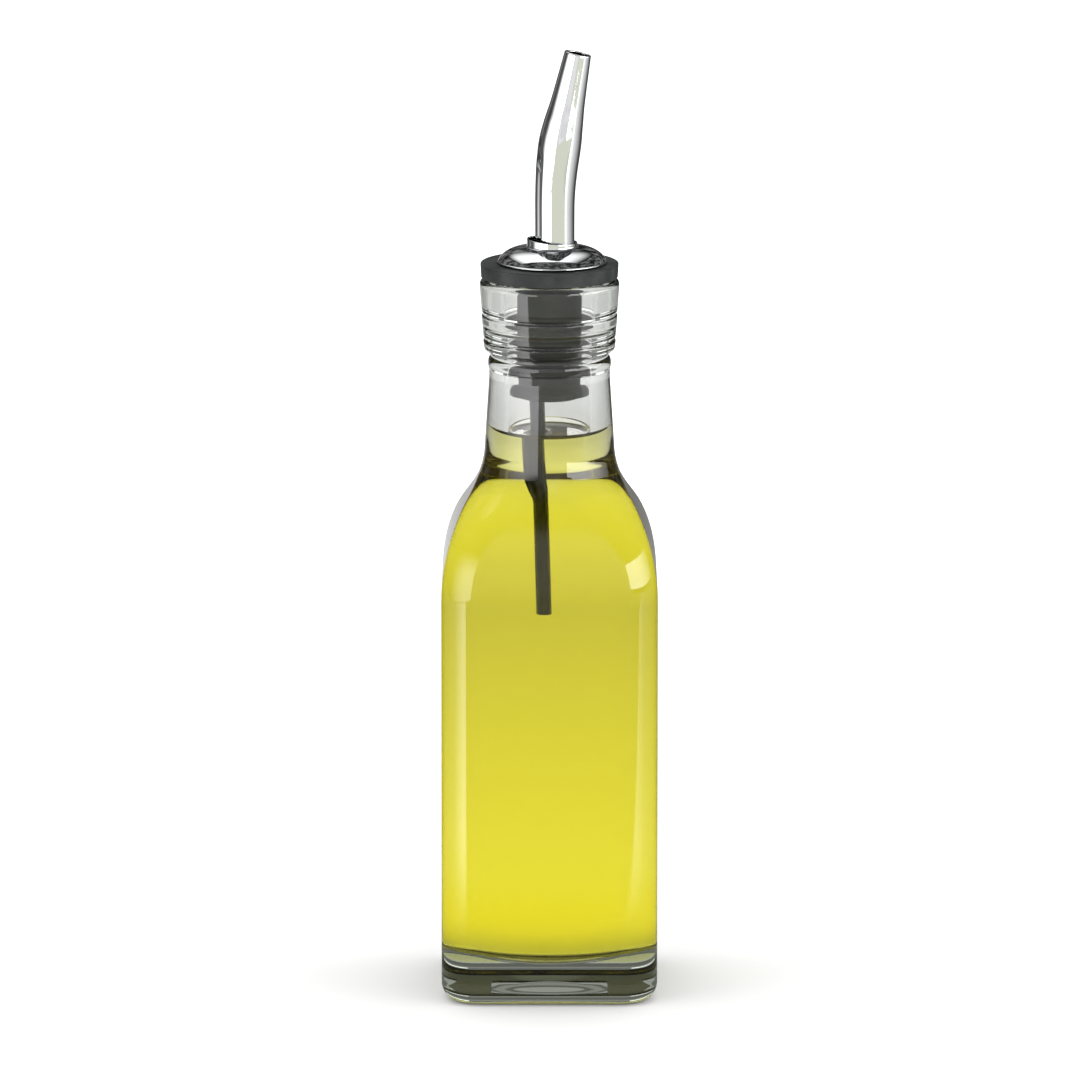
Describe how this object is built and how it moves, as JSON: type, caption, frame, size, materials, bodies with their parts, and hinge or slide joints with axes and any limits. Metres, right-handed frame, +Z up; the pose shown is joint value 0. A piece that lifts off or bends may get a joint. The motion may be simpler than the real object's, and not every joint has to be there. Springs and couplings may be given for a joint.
{
  "type": "oil and vinegar bottle with pourer",
  "caption": "Square clear glass table bottle of golden olive oil, with a black rubber stopper and a bent chrome pouring spout in its mouth.",
  "frame": {"origin": "centre of the base, on the surface that the bottle stands on", "axes": "+Z up through the neck, +X the way the spout leans, -Y the front"},
  "size_m": [0.048, 0.048, 0.2112],
  "materials": {
    "glass": "clear polished glass",
    "oil": "clear golden olive oil",
    "rubber": "matt charcoal rubber",
    "chrome": "polished chrome",
    "tube": "smooth dark plastic tube"
  },
  "bodies": {
    "root": {"bottle": "glass", "oil": "oil", "stopper": "rubber", "breather_tube": "tube", "cap": "chrome", "spout": "chrome"}
  },
  "joints": []
}
